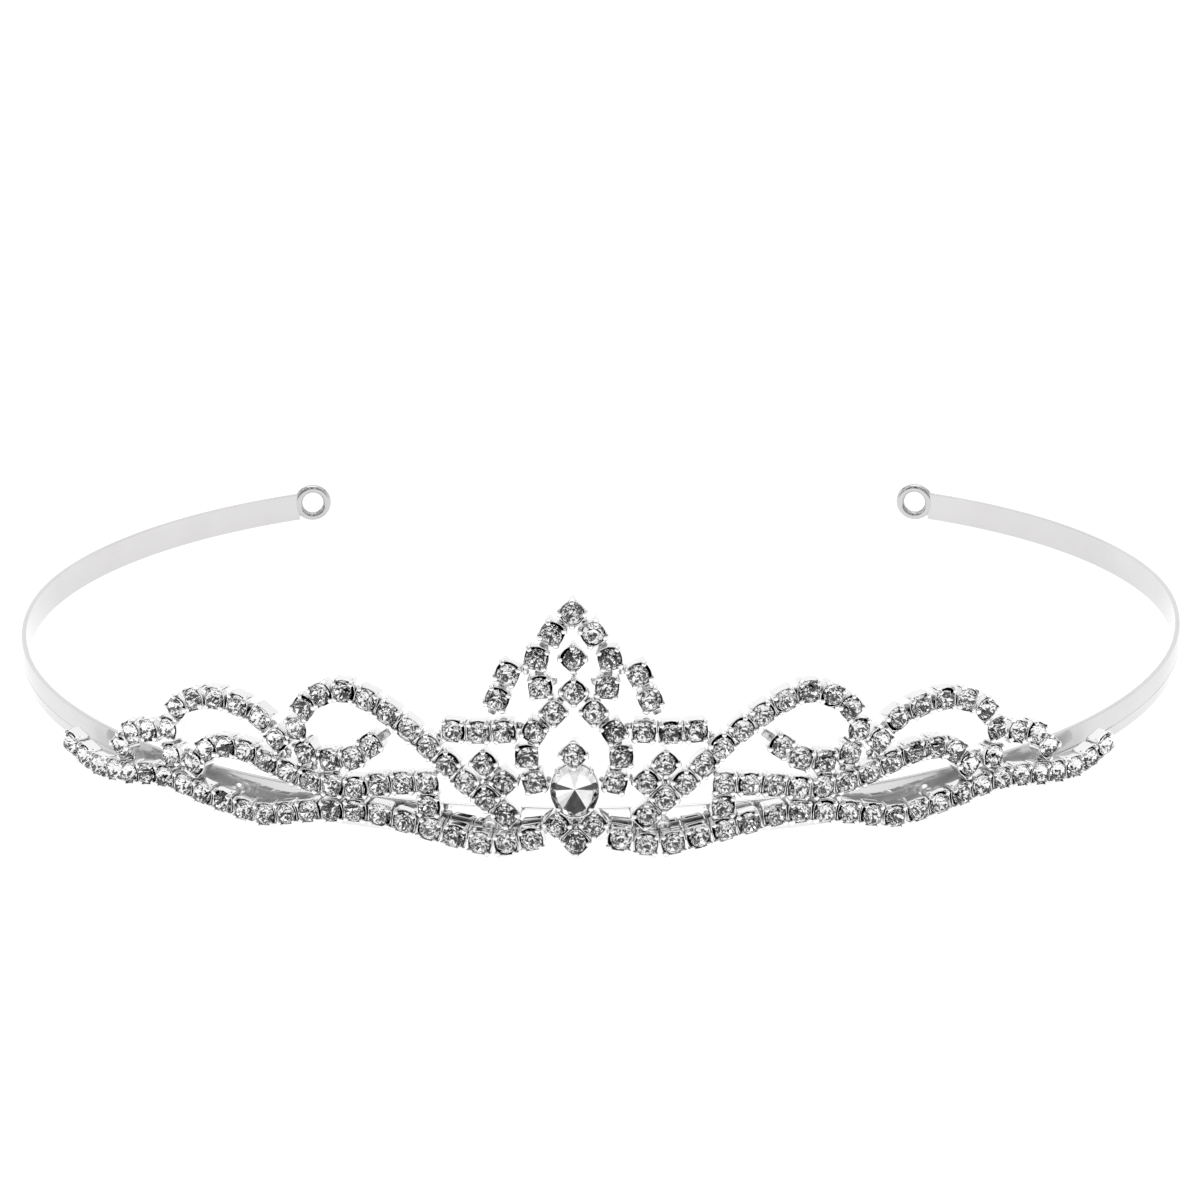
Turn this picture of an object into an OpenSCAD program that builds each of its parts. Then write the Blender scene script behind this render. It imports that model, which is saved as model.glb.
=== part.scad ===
// Bridal tiara: a springy metal headband with eyelets at its tips, and a crest of claw-set stones
// in cup chain that is bent into scrolls and soldered to the front of the band.
// Front faces -Y, +Z is up, sizes are in millimetres.

/* [Headband] */
// Radius of the front half of the band, at mid thickness
front_radius = 73; // [70:0.1:75]
// Radius of the rear half of each arm, at mid thickness
rear_radius = 57; // [54:0.5:62]
// Angle from the front centre at which each arm ends
tip_angle = 149.5; // [138:0.5:152]
// Height of the strip
strip_h = 3.8; // [3.4:0.1:4.4]
// Thickness of the strip
strip_t = 0.7; // [0.6:0.05:0.8]
// Height of the crease above the strip's lower edge
crease_h = 1.5; // [1.2:0.1:1.8]
// How far the outer face draws in below the crease
crease_in = 0.2; // [0.1:0.05:0.25]
// Angle from the front centre at which each arm flexes
flex_angle = 60; // [56:1:64]

/* [Eyelets] */
// Outer diameter of each eyelet
eyelet_d = 5.2; // [4.8:0.1:5.6]
// Diameter of the eyelet's hole
eyelet_hole = 2.9; // [2.6:0.1:3.1]
// Height of the eyelet's centre above the middle of the strip
eyelet_rise = 0.5; // [0:0.1:0.8]
// How far each eyelet turns in from the line of the strip
eyelet_turn = 20; // [0:1:30]

/* [Stones and cups] */
// Diameter of a round stone
stone_d = 2.3; // [2.1:0.05:2.35]
// Width of a square cup
cup_w = 2.65; // [2.6:0.05:2.7]
// Height of a cup's side walls
wall_h = 1.7; // [1.6:0.1:1.8]
// Height of a cup's corner claws
claw_h = 2.15; // [2:0.05:2.3]
// Width of the oval stone
oval_w = 5; // [4.8:0.1:5.1]
// Height of the oval stone
oval_h = 6; // [5.6:0.1:6.1]

/* [Crest] */
// Radius of the surface that the cups' backs lie on
crest_radius = 78; // [76:0.5:82]
// Gap between the band and the backs of the cups at the front centre
standoff = 0.6; // [0.5:0.05:0.8]

/* [Hidden] */
$fn = 48;
band_fn = 240;

// ---- headband ----
clearance = 0.1;
nose_d = strip_t - 0.1;
// How far each rear arc's centre lies to the side of the front arc's centre
rear_x = front_radius - rear_radius;
// The angle that the end of the front strip gives up to the arm's rounded nose
nose_gap = (strip_t / 2 + clearance) / front_radius * 180 / PI;
// Where the eyelet's centre lies past the end of the strip
eyelet_wire = (eyelet_d - eyelet_hole) / 2;
eyelet_reach = eyelet_hole / 2 + eyelet_wire / 2;
bore_l = 0.7;

// ---- cups and stones ----
floor_h = 0.6;
pocket_d = 2.4;
claw_gap = 1.4;
girdle_z = 1.55;
girdle_h = 0.2;
table_z = 2.3;
table_d = 1.25;
culet_d = 0.3;
link_w = 0.9;
link_z = 0.1;
link_h = 0.45;
tail_l = 0.9;
oval_wall = 0.2;
oval_floor = 0.8;
oval_rim = 2.3;
oval_girdle = 2.3;
oval_table = 3.3;
oval_points = 40;
oval_play = 0.05;
oval_culet = 0.15;
oval_table_share = 0.62;
oval_claws = 4;
oval_claw_d = 0.6;
oval_claw_at = 2.95;
oval_claw_h = oval_table - 0.5;
crown_post_l = 2.6;
crown_post_d = 1.3;
post_d = 1.5;
post_up = strip_h / 2;
post_l = 2;
pad_d = 1.6;
pad_h = 0.45;
stem_d = 0.8;

// ---- where the crest's pieces lie ----
// Every place is [arc length from the front centre, height above the band's lower edge], measured on
// the surface of the stones' girdles. The left half mirrors the right half.
girdle_radius = crest_radius + girdle_z + girdle_h;
RAIL = [[4.75, 1.05], [9.5, 0.35], [16, 1.6], [23, 2.9], [30, 2.1], [36, 0.8], [43, 1.6],
        [50, 2.5], [57, 1.4], [62, 1.1], [66.5, 2.3]];
OUTER_SCROLL = [[48.35, 5.4], [48.8, 8], [47.3, 11], [44.2, 12.8], [40.8, 13.3], [37.6, 12.7],
                [35.2, 11.6], [33.6, 9.8]];
END_CURL = [[51.8, 7.5], [54.7, 6.7], [56.7, 4.6]];
WAVE = [[45, 5], [43.2, 7], [39.5, 8], [35.5, 7.2], [32, 6.2], [28.5, 5.5], [25, 5.5], [21, 6.3],
        [16, 6.9]];
INNER_SCROLL = [[30.1, 8.9], [31.1, 11.9], [29.3, 14.9], [26, 16.4], [22.8, 15.8], [19.6, 14],
                [16.8, 11.9], [14.2, 9.6], [11.9, 7.4], [9.6, 5.5], [7.5, 3.7]];
INNER_CURL = [[27.2, 8.4], [24.5, 8.9], [22.3, 10.6]];
BRACE = [[9.7, 9.5], [7.6, 7.5]];
PROP = [[15.9, 4.25]];
SHOULDER_ROW = [[7.45, 13.2], [10.2, 12.95], [12.95, 13]];
SHOULDER_ARC = [[6.95, 19.6], [8.15, 16.8]];
CREST_SIDE = [[2.15, 24.2], [3.9, 21.4], [3.55, 18.2]];
NECK = [[2.15, 15.4], [4.2, 13.25], [5, 10.4], [4.3, 7.6]];
APEX = [0, 26.4];
DROP = [0, 21.45];
CROSSING = [0, 17.7];
CROWN_CUP = [0, 11.6];
OVAL = [0, 7];
PAIR = [1.95, 2.75];
POINT = [0, 0.7];
// How many stones each piece of chain holds
RAIL_N = 23;
OUTER_SCROLL_N = 8;
WAVE_N = 12;
INNER_SCROLL_N = 13;
// Solder posts between the band and the rail, by arc length
POSTS = [9.5, 20, 31, 41, 50];
// Solder pads on the backs of the cups, right half
PADS = [[3.6, 2], [7.5, 2.2], [5.8, 7.6], [9.8, 7.4], [14.2, 8.1], [15.9, 5.6], [15.9, 2.95],
        [5.9, 13.4], [14.6, 12.1], [5.2, 19.5], [7.8, 15], [2.2, 18.4], [1.05, 25.3], [1.2, 16.6],
        [3.2, 16.9], [29.8, 7.2], [27.1, 6.9], [28.6, 8.8], [26.8, 4.1], [33.1, 8], [48.3, 4],
        [46.8, 5.6], [45.2, 3.6], [50.2, 7.5], [56.8, 2.9], [3, 7.3], [1.6, 4.3], [1.1, 1.8]];
CENTRE_PADS = [[0, 10.5]];

// ---- the origin: below the middle of the outline, level with the lowest corner ----
lift = cup_w / sqrt(2) - POINT[1];
band_front_y = -front_radius - strip_t / 2;
crest_axis_y = band_front_y - standoff + crest_radius;
outline_front = crest_axis_y - crest_radius - max(oval_table, crown_post_l + table_z);
tip_x = rear_x + rear_radius * sin(tip_angle);
tip_y = -rear_radius * cos(tip_angle);
eyelet_heading = tip_angle + eyelet_turn;
eyelet_x = tip_x + eyelet_reach * cos(eyelet_heading);
eyelet_y = tip_y + eyelet_reach * sin(eyelet_heading);
outline_back = eyelet_y + eyelet_d / 2 * abs(sin(eyelet_heading))
    + eyelet_wire / 2 * abs(cos(eyelet_heading));
shift_y = -(outline_front + outline_back) / 2;

// ---- evenly spaced places along a smooth route ----
function clamped(p, i) = p[max(0, min(len(p) - 1, i))];
function curve(a, b, c, d, t) =
    0.5 * (2 * b + (c - a) * t + (2 * a - 5 * b + 4 * c - d) * t * t + (3 * b - a - 3 * c + d) * t * t * t);
function smooth(p, steps = 10) = [
    for (i = [0 : len(p) - 2], k = [0 : steps - 1])
        curve(clamped(p, i - 1), p[i], p[i + 1], clamped(p, i + 2), k / steps),
    p[len(p) - 1]
];
function lengths(q) = [
    for (i = 0, d = 0; i < len(q); d = d + (i + 1 < len(q) ? norm(q[i + 1] - q[i]) : 0), i = i + 1) d
];
function place(q, d, at) =
    let (i = min(len(q) - 2, max([for (k = [0 : len(q) - 1]) d[k] <= at ? k : 0])))
    q[i] + (q[i + 1] - q[i]) * (at - d[i]) / (d[i + 1] - d[i]);
function spaced(route, n) =
    let (q = smooth(route), d = lengths(q), total = d[len(d) - 1])
    [for (k = [0 : n - 1]) place(q, d, total * k / (n - 1))];
function heading(p, k) =
    let (v = clamped(p, k + 1) - clamped(p, k - 1))
    atan2(v[1], v[0]);
function mirrored(p, side) = [for (q = p) [side * q[0], q[1]]];

// ---- helpers ----
// Moves its children from the crest's own plane to a place on the crest's curved surface
module on_crest(p, turn = 0) {
    translate([0, crest_axis_y + shift_y, lift])
        rotate([0, 0, p[0] / girdle_radius * 180 / PI])
            translate([0, -crest_radius, p[1]])
                rotate([90, 0, 0])
                    rotate([0, 0, turn])
                        children();
}

module cup() {
    difference() {
        translate([-cup_w / 2, -cup_w / 2, 0])
            cube([cup_w, cup_w, claw_h]);
        translate([0, 0, floor_h])
            cylinder(d = pocket_d, h = claw_h);
        for (a = [0, 90])
            rotate([0, 0, a])
                translate([-cup_w, -claw_gap / 2, wall_h])
                    cube([2 * cup_w, claw_gap, claw_h]);
    }
}

module stone() {
    rotate_extrude()
        polygon([[0, floor_h], [culet_d / 2, floor_h], [stone_d / 2, girdle_z],
                 [stone_d / 2, girdle_z + girdle_h], [table_d / 2, table_z], [0, table_z]]);
}

// A flat bar at the back of the cups, from place a to place b
module link(a, b) {
    on_crest((a + b) / 2, atan2(b[1] - a[1], b[0] - a[0]))
        translate([-norm(b - a) / 2, -link_w / 2, link_z])
            cube([norm(b - a), link_w, link_h]);
}

module chain(p) {
    for (k = [0 : len(p) - 1])
        on_crest(p[k], heading(p, k))
            cup();
    for (k = [0 : len(p) - 2])
        link(p[k], p[k + 1]);
}

// The cut end of a chain's link, past the first place of p
module tail(p) {
    away = (p[0] - p[1]) / norm(p[0] - p[1]);
    link(p[0], p[0] + away * (cup_w / 2 + tail_l));
}

module stones(p) {
    for (k = [0 : len(p) - 1])
        on_crest(p[k], heading(p, k))
            stone();
}

// The strip's cross-section at a radius, filled in towards the axis by depth
function strip_outline(radius, depth) = [
    [radius - strip_t / 2 - depth, 0], [radius + strip_t / 2 - crease_in, 0],
    [radius + strip_t / 2, crease_h], [radius + strip_t / 2, strip_h],
    [radius - strip_t / 2 - depth, strip_h]
];

// A length of the strip about its arc's centre, from the right-hand side towards the back
module strip(radius, angle) {
    rotate_extrude(angle = angle, $fn = band_fn)
        polygon(strip_outline(radius, 0));
}

module front_strip() {
    translate([0, shift_y, lift])
        rotate([0, 0, nose_gap - flex_angle - 90])
            strip(front_radius, 2 * (flex_angle - nose_gap));
}

// Turns its children to lie along the axis of the right eyelet's hole
module at_eyelet() {
    translate([eyelet_x, eyelet_y + shift_y, lift + strip_h / 2 + eyelet_rise])
        rotate([0, 0, eyelet_heading])
            rotate([90, 0, 0])
                children();
}

module arm() {
    translate([0, shift_y, lift]) {
        mirror([0, 1, 0])
            strip(front_radius, 90 - flex_angle);
        translate([rear_x, 0, 0])
            strip(rear_radius, tip_angle - 90);
        translate([front_radius * sin(flex_angle), -front_radius * cos(flex_angle), 0])
            cylinder(d = nose_d, h = strip_h);
    }
}

module eyelet() {
    at_eyelet()
        rotate_extrude()
            union() {
                translate([(eyelet_d - eyelet_wire) / 2, 0])
                    circle(d = eyelet_wire);
                translate([eyelet_hole / 2, -bore_l / 2])
                    square([eyelet_wire / 2, bore_l]);
            }
}

function oval_outline(w, h) =
    [for (k = [0 : oval_points - 1]) let (a = 360 * k / oval_points) [w / 2 * cos(a), h / 2 * sin(a)]];

// A closed solid whose surface runs through ovals of one shape, given as [share of full size, height]
module oval_solid(w, h, levels) {
    n = oval_points;
    rings = len(levels);
    points = [for (l = levels, q = oval_outline(w * l[0], h * l[0])) [q[0], q[1], l[1]]];
    sides = [
        for (r = [0 : rings - 2], k = [0 : n - 1])
            [r * n + k, (r + 1) * n + k, (r + 1) * n + (k + 1) % n, r * n + (k + 1) % n]
    ];
    bottom = [for (k = [0 : n - 1]) k];
    top = [for (k = [n - 1 : -1 : 0]) (rings - 1) * n + k];
    polyhedron(points, concat([bottom], sides, [top]));
}

// ---- headband ----
module band_front() {
    color("silver") front_strip();
}
module band_arm_left() {
    color("silver") mirror([1, 0, 0]) arm();
}
module band_arm_right() {
    color("silver") arm();
}
module eyelet_left() {
    color("silver") mirror([1, 0, 0]) eyelet();
}
module eyelet_right() {
    color("silver") eyelet();
}

// ---- chain pieces: side is -1 on the left and 1 on the right ----
function rail(side) = mirrored(spaced(RAIL, RAIL_N), side);
function outer_scroll(side) = mirrored(spaced(OUTER_SCROLL, OUTER_SCROLL_N), side);
function wave(side) = mirrored(spaced(WAVE, WAVE_N), side);
function inner_scroll(side) = mirrored(spaced(INNER_SCROLL, INNER_SCROLL_N), side);
function inner_curl(side) = mirrored(INNER_CURL, side);
function end_curl(side) = mirrored(END_CURL, side);
function brace(side) = mirrored(BRACE, side);
function shoulder_row(side) = mirrored(SHOULDER_ROW, side);
function shoulder_arc(side) = mirrored(SHOULDER_ARC, side);
function crest_side(side) = mirrored(CREST_SIDE, side);
function neck(side) = mirrored(NECK, side);
function reversed(p) = [for (k = [len(p) - 1 : -1 : 0]) p[k]];

module metal_chain(p) {
    color("gainsboro") chain(p);
}
module clear_stones(p) {
    color("aliceblue") stones(p);
}

module rail_left_chain() {
    metal_chain(rail(-1));
}
module rail_right_chain() {
    metal_chain(rail(1));
}
module rail_left_stones() {
    clear_stones(rail(-1));
}
module rail_right_stones() {
    clear_stones(rail(1));
}
module outer_scroll_left_chain() {
    metal_chain(outer_scroll(-1));
}
module outer_scroll_right_chain() {
    metal_chain(outer_scroll(1));
}
module outer_scroll_left_stones() {
    clear_stones(outer_scroll(-1));
}
module outer_scroll_right_stones() {
    clear_stones(outer_scroll(1));
}
module end_curl_left_chain() {
    metal_chain(end_curl(-1));
}
module end_curl_right_chain() {
    metal_chain(end_curl(1));
}
module wave_left_chain() {
    metal_chain(wave(-1));
}
module wave_right_chain() {
    metal_chain(wave(1));
}
module wave_left_stones() {
    clear_stones(wave(-1));
}
module wave_right_stones() {
    clear_stones(wave(1));
}
module inner_scroll_left_chain() {
    metal_chain(inner_scroll(-1));
}
module inner_scroll_right_chain() {
    metal_chain(inner_scroll(1));
}
module inner_scroll_left_stones() {
    clear_stones(inner_scroll(-1));
}
module inner_scroll_right_stones() {
    clear_stones(inner_scroll(1));
}
module inner_curl_left_chain() {
    metal_chain(inner_curl(-1));
    color("gainsboro") tail(reversed(inner_curl(-1)));
}
module inner_curl_right_chain() {
    metal_chain(inner_curl(1));
    color("gainsboro") tail(reversed(inner_curl(1)));
}
module curl_stones() {
    for (side = [-1, 1]) {
        clear_stones(end_curl(side));
        clear_stones(inner_curl(side));
    }
}
module brace_left_chain() {
    metal_chain(brace(-1));
}
module brace_right_chain() {
    metal_chain(brace(1));
}
module brace_stones() {
    for (side = [-1, 1])
        clear_stones(brace(side));
}
module prop_cups() {
    for (side = [-1, 1])
        metal_chain(mirrored(PROP, side));
}
module prop_stones() {
    for (side = [-1, 1])
        clear_stones(mirrored(PROP, side));
}
module shoulder_row_left_chain() {
    metal_chain(shoulder_row(-1));
}
module shoulder_row_right_chain() {
    metal_chain(shoulder_row(1));
}
module shoulder_arc_left_chain() {
    metal_chain(shoulder_arc(-1));
    color("gainsboro") tail(reversed(shoulder_arc(-1)));
}
module shoulder_arc_right_chain() {
    metal_chain(shoulder_arc(1));
    color("gainsboro") tail(reversed(shoulder_arc(1)));
}
module shoulder_stones() {
    for (side = [-1, 1]) {
        clear_stones(shoulder_row(side));
        clear_stones(shoulder_arc(side));
    }
}
module crest_left_chain() {
    metal_chain(crest_side(-1));
}
module crest_right_chain() {
    metal_chain(crest_side(1));
}
module neck_left_chain() {
    metal_chain(neck(-1));
}
module neck_right_chain() {
    metal_chain(neck(1));
}
module crest_stones() {
    for (side = [-1, 1])
        clear_stones(crest_side(side));
}
module neck_stones() {
    for (side = [-1, 1])
        clear_stones(neck(side));
}

// ---- single settings, turned to stand on a corner ----
module single_cup(p) {
    color("gainsboro")
        on_crest(p, 45)
            cup();
}
module single_stone(p) {
    color("aliceblue")
        on_crest(p, 45)
            stone();
}
module apex_cup() {
    single_cup(APEX);
}
module drop_cup() {
    single_cup(DROP);
}
module crossing_cup() {
    single_cup(CROSSING);
}
// The crown cup stands forward on a post, so that its lower corner lies over the oval's rim
module on_crown_post() {
    on_crest(CROWN_CUP)
        translate([0, 0, crown_post_l])
            rotate([0, 0, 45])
                children();
}
module crown_cup() {
    color("gainsboro") {
        on_crown_post()
            cup();
        on_crest(CROWN_CUP)
            cylinder(d = crown_post_d, h = crown_post_l + floor_h / 2);
    }
}
module pair_cups() {
    for (side = [-1, 1])
        single_cup([side * PAIR[0], PAIR[1]]);
}
module point_cup() {
    single_cup(POINT);
}
module single_stones() {
    for (p = [APEX, DROP, CROSSING, POINT, PAIR, [-PAIR[0], PAIR[1]]])
        single_stone(p);
    color("aliceblue")
        on_crown_post()
            stone();
}
// The wire on the backs of the drop and the crossing cup, which carries the drop
module drop_stem() {
    color("silver")
        on_crest((DROP + CROSSING) / 2, 90)
            translate([0, 0, -stem_d / 2])
                rotate([0, 90, 0])
                    cylinder(d = stem_d, h = norm(DROP - CROSSING), center = true);
}

// ---- the oval in its claw setting ----
module oval_setting() {
    outer_w = oval_w + 2 * oval_wall;
    outer_h = oval_h + 2 * oval_wall;
    color("gainsboro")
        on_crest(OVAL) {
            difference() {
                linear_extrude(oval_rim)
                    polygon(oval_outline(outer_w, outer_h));
                translate([0, 0, oval_floor])
                    linear_extrude(oval_rim)
                        polygon(oval_outline(oval_w + oval_play, oval_h + oval_play));
            }
            for (k = [0 : oval_claws - 1])
                rotate([0, 0, 45 + 90 * k])
                    translate([oval_claw_at, 0, 0])
                        cylinder(d = oval_claw_d, h = oval_claw_h);
        }
}
module oval_stone() {
    color("aliceblue")
        on_crest(OVAL)
            oval_solid(oval_w, oval_h, [[oval_culet, oval_floor], [1, oval_girdle - girdle_h],
                                        [1, oval_girdle], [oval_table_share, oval_table]]);
}

// ---- solder ----
module solder_posts() {
    color("darkgray")
        difference() {
            for (side = [-1, 1], s = POSTS)
                on_crest([side * s, post_up])
                    translate([0, 0, -post_l])
                        cylinder(d = post_d, h = post_l);
            translate([0, shift_y, lift])
                rotate_extrude($fn = band_fn)
                    polygon(strip_outline(front_radius, front_radius - strip_t / 2));
        }
}
module solder_pads() {
    color("darkgray") {
        for (side = [-1, 1], p = mirrored(PADS, side))
            on_crest(p)
                translate([0, 0, -pad_h])
                    cylinder(d = pad_d, h = pad_h);
        for (p = CENTRE_PADS)
            on_crest(p)
                translate([0, 0, -pad_h])
                    cylinder(d = pad_d, h = pad_h);
    }
}

band_front();
band_arm_left();
band_arm_right();
eyelet_left();
eyelet_right();
rail_left_chain();
rail_right_chain();
rail_left_stones();
rail_right_stones();
outer_scroll_left_chain();
outer_scroll_right_chain();
outer_scroll_left_stones();
outer_scroll_right_stones();
end_curl_left_chain();
end_curl_right_chain();
wave_left_chain();
wave_right_chain();
wave_left_stones();
wave_right_stones();
inner_scroll_left_chain();
inner_scroll_right_chain();
inner_scroll_left_stones();
inner_scroll_right_stones();
inner_curl_left_chain();
inner_curl_right_chain();
curl_stones();
brace_left_chain();
brace_right_chain();
brace_stones();
prop_cups();
prop_stones();
shoulder_row_left_chain();
shoulder_row_right_chain();
shoulder_arc_left_chain();
shoulder_arc_right_chain();
shoulder_stones();
crest_left_chain();
crest_right_chain();
crest_stones();
neck_left_chain();
neck_right_chain();
neck_stones();
apex_cup();
drop_cup();
crossing_cup();
crown_cup();
pair_cups();
point_cup();
single_stones();
drop_stem();
oval_setting();
oval_stone();
solder_posts();
solder_pads();
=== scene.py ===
import math
import random

import bmesh
import bpy
import numpy as np
from mathutils import Matrix, Vector


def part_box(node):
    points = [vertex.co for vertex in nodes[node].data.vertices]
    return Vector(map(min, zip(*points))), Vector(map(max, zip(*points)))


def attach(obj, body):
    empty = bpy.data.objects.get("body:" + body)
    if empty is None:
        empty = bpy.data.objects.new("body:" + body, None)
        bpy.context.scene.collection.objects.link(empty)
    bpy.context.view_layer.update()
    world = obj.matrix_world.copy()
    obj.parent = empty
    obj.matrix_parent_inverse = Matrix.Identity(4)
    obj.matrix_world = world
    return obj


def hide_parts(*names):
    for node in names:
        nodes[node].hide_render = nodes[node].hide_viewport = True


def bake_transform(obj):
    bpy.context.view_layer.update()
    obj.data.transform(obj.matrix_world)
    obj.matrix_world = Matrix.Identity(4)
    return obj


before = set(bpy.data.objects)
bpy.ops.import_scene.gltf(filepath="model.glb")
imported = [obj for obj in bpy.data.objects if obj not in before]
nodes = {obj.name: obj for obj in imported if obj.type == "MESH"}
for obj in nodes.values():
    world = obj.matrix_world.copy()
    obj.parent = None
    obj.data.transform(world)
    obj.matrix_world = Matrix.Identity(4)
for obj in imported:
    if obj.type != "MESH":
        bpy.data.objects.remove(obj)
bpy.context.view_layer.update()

# Lengths are in millimetres while a shape is made, and become metres when its mesh is written.
MM = 0.001
rng = random.Random(7)

# ---- the strip and its eyelets, as the CAD has them; angles are from the front, in degrees ----
FRONT_RADIUS = 73
REAR_RADIUS = 57
TIP_ANGLE = 149.5
STRIP_H = 3.8
STRIP_T = 0.7
CREASE_H = 1.5
CREASE_IN = 0.2
EYELET_TURN = 20

# ---- cups and stones, measured from the plane of the cups' backs ----
CUP_HALF = 1.325
STONE_R = 1.15
CULET_Z = 0.6
GIRDLE_Z = (1.55, 1.75)
TABLE_Z = 2.3
TABLE_R = 0.625
LINK_REACH = 3.6


# ------------------------------------------------------------------ reading the CAD nodes
def node_mesh(name):
    """Welded vertices in millimetres and triangles of a CAD node."""
    mesh = nodes[name].data
    mesh.calc_loop_triangles()
    points = np.array([v.co for v in mesh.vertices], float) / MM
    triangles = np.array([t.vertices[:] for t in mesh.loop_triangles], int)
    keys, index = np.unique(np.round(points, 3), axis=0, return_inverse=True)
    return keys, index.reshape(-1)[triangles]


def loose_parts(name):
    """The vertices of each separate solid of a CAD node."""
    points, triangles = node_mesh(name)
    parent = list(range(len(points)))

    def root(i):
        while parent[i] != i:
            parent[i] = parent[parent[i]]
            i = parent[i]
        return i

    for a, b, c in triangles:
        parent[root(a)] = root(b)
        parent[root(b)] = root(c)
    groups = {}
    for i in range(len(points)):
        groups.setdefault(root(i), []).append(i)
    return [points[g] for g in groups.values() if len(g) > 3]


def unit(v):
    v = np.array(v, float)
    return v / np.linalg.norm(v)


def round_axis(points):
    """The axis of a turned solid, pointing out of the crest's front."""
    centred = points - points.mean(0)
    values, vectors = np.linalg.eigh(centred.T @ centred)
    lone = 0 if values[1] - values[0] > values[2] - values[1] else 2
    axis = vectors[:, lone]
    return axis if axis[1] < 0 else -axis


class Place:
    """Where a cup stands: the middle of its back, and its right, up and outward directions."""

    def __init__(self, origin, out, turn=0.0):
        self.origin = np.array(origin, float)
        self.out = unit(out)
        up = np.array([0.0, 0.0, 1.0])
        up = unit(up - up @ self.out * self.out)
        right = np.cross(up, self.out)
        c, s = math.cos(turn), math.sin(turn)
        self.right = c * right + s * up
        self.up = c * up - s * right

    def basis(self):
        return np.stack([self.right, self.up, self.out])

    def world(self, points):
        return np.asarray(points, float) @ self.basis() + self.origin


def stone_places(name):
    """A place for each stone of a CAD node, found from the stone's own shape."""
    found = []
    for points in loose_parts(name):
        out = round_axis(points)
        middle = points.mean(0)
        culet = ((points - middle) @ out).min()
        found.append(Place(middle + (culet - CULET_Z) * out, out))
    return found


# How exactly a triangle must face sideways, and lie half a cup from the axis, to be cup wall
FACING_SLACK = 0.05
WALL_SLACK = 0.03


def wall_turn(place, points, triangles):
    """(how much cup wall a chain has around a stone, the turn of that square cup)."""
    a, b, c = (points[triangles[:, k]] for k in range(3))
    normal = np.cross(b - a, c - a)
    area = np.linalg.norm(normal, axis=1)
    ok = area > 1e-9
    normal, area = normal[ok] / area[ok, None], area[ok] / 2
    offset = (a + b + c)[ok] / 3 - place.origin
    along = offset @ place.out
    wall = (abs(normal @ place.out) < FACING_SLACK) & (along > 0) & (along < TABLE_Z)
    wall &= abs((normal * offset).sum(1) - CUP_HALF) < WALL_SLACK
    wall &= np.linalg.norm(offset - along[:, None] * place.out, axis=1) < 2 * CUP_HALF
    angle = np.arctan2(normal[wall] @ place.up, normal[wall] @ place.right)
    total = (area[wall] * np.exp(4j * angle)).sum()
    return abs(total), float(np.angle(total)) / 4


stone_nodes = sorted(n for n in nodes if n.endswith("_stones"))
metal_nodes = sorted(n for n in nodes if n.endswith(("_chain", "_cup", "_cups")))
stones_in = {n: stone_places(n) for n in stone_nodes}
cups_in = {n: [] for n in metal_nodes}
metal_meshes = {n: node_mesh(n) for n in metal_nodes}
for name in stone_nodes:
    for place in stones_in[name]:
        weighed = [(*wall_turn(place, *metal_meshes[n]), n) for n in metal_nodes]
        _, turn, owner = max(weighed)
        turned = Place(place.origin, place.out, turn)
        place.right, place.up = turned.right, turned.up
        cups_in[owner].append(place)

# The crest's own axis, which the backs of the cups lie around. Only stones well to the side
# show where it is.
ASIDE = 20
axis_y = np.mean([
    p.origin[1] - p.origin[0] * p.out[1] / p.out[0]
    for places in stones_in.values() for p in places if abs(p.origin[0]) > ASIDE
])
crest_radius = np.median([
    math.hypot(p.origin[0], p.origin[1] - axis_y)
    for places in stones_in.values() for p in places
])


def outward(point):
    """The crest's outward direction at a point."""
    return unit([point[0], point[1] - axis_y, 0])


# ------------------------------------------------------------------ mesh writing
class Shape:
    """Vertices and faces gathered in millimetres, with a material number for each face."""

    def __init__(self):
        self.points, self.faces, self.finish, self.flat = [], [], [], []

    def add(self, points, faces, finish=0, flat=False):
        """finish is one material number, or one for each face."""
        start = len(self.points)
        self.points.extend(map(tuple, points))
        self.faces.extend(tuple(start + i for i in f) for f in faces)
        self.finish.extend(finish if isinstance(finish, list) else [finish] * len(faces))
        self.flat.extend([flat] * len(faces))

    def piece(self, name, body, materials, replaced):
        mesh = bpy.data.meshes.new(name)
        mesh.from_pydata((np.array(self.points) * MM).tolist(), [], self.faces)
        for material in materials:
            mesh.materials.append(material)
        mesh.polygons.foreach_set("material_index", self.finish)
        mesh.polygons.foreach_set("use_smooth", [not f for f in self.flat])
        work = bmesh.new()
        work.from_mesh(mesh)
        bmesh.ops.recalc_face_normals(work, faces=work.faces)
        work.to_mesh(mesh)
        work.free()
        made = bpy.data.objects.new(name, mesh)
        bpy.context.scene.collection.objects.link(made)
        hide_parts(*replaced)
        if body:
            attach(made, body)
        return made


def tube_faces(rings, around):
    """Faces of a skin over rings of points, with both ends capped."""
    faces = []
    for r in range(rings - 1):
        low, high = r * around, (r + 1) * around
        for k in range(around):
            n = (k + 1) % around
            faces.append((low + k, low + n, high + n, high + k))
    faces.append(tuple(range(around - 1, -1, -1)))
    faces.append(tuple((rings - 1) * around + k for k in range(around)))
    return faces


def ring_of(count, radius, z, first=0.0, stretch=(1, 1)):
    """Evenly spaced points around an axis at one height."""
    turns = [2 * math.pi * (k + first) / count for k in range(count)]
    wide, tall = stretch[0] * radius, stretch[1] * radius
    return [(wide * math.cos(t), tall * math.sin(t), z) for t in turns]


# Where a square's extra points are, as a share of its straight half side
SIDE_POINT = 0.6


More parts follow.
